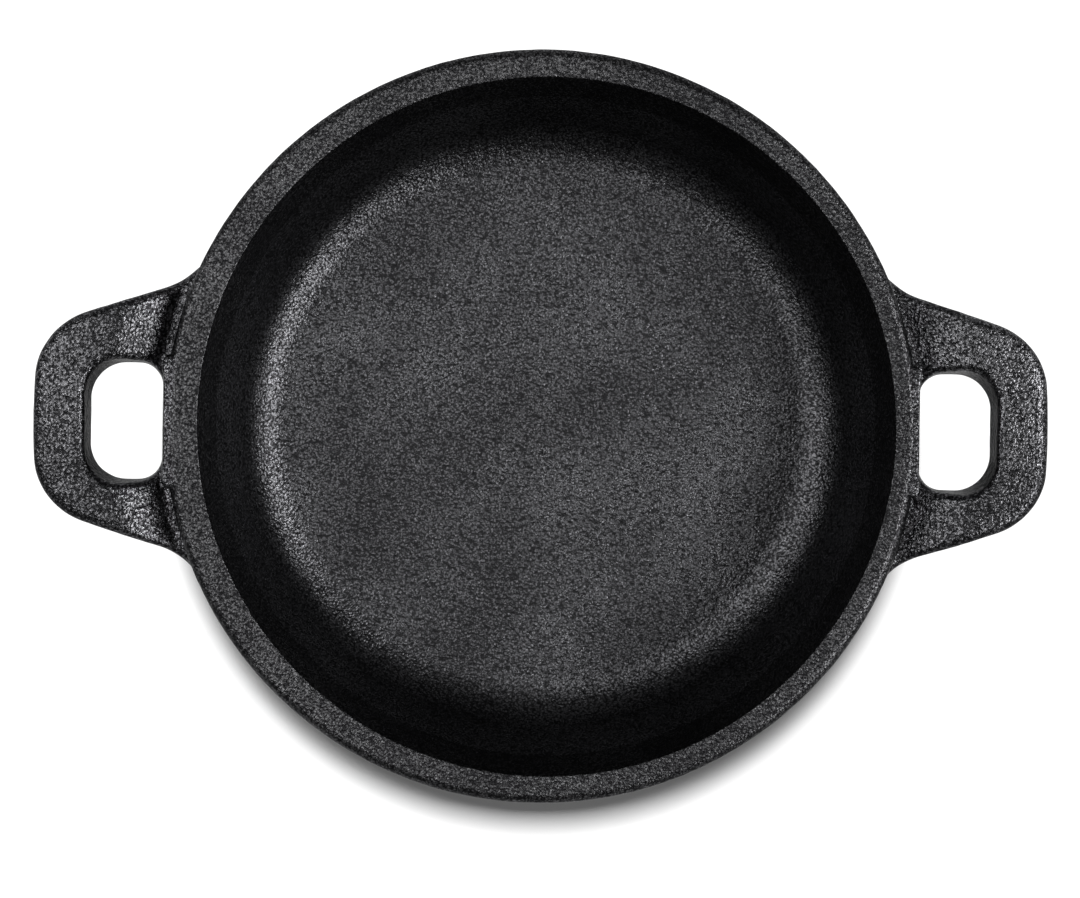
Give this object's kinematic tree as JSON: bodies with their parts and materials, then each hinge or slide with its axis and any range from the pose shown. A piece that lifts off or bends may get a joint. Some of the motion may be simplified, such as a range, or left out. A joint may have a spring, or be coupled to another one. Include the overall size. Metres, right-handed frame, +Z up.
{
  "type": "cast iron skillet",
  "caption": "Shallow round cast iron pan with sloping walls, a thickened flat rim band, a foot ring and an open loop handle on each side.",
  "frame": {"origin": "centre of the foot ring's underside, at table height", "axes": "+Z up along the bowl's axis, X through the two handles with the right handle at +X"},
  "size_m": [0.2224, 0.1648, 0.038],
  "materials": {
    "seasoned_iron": "bare sand-cast iron, oil seasoned black, fine pebbled grain",
    "rim_iron": "seasoned black iron, the fine grain a little rubbed on the land",
    "handle_iron": "seasoned black iron, coarser beaded grain"
  },
  "bodies": {
    "root": {"cooking_floor": "seasoned_iron", "side_wall": "seasoned_iron", "rim": "rim_iron", "foot_ring": "seasoned_iron", "left_handle": "handle_iron", "right_handle": "handle_iron"}
  },
  "joints": []
}
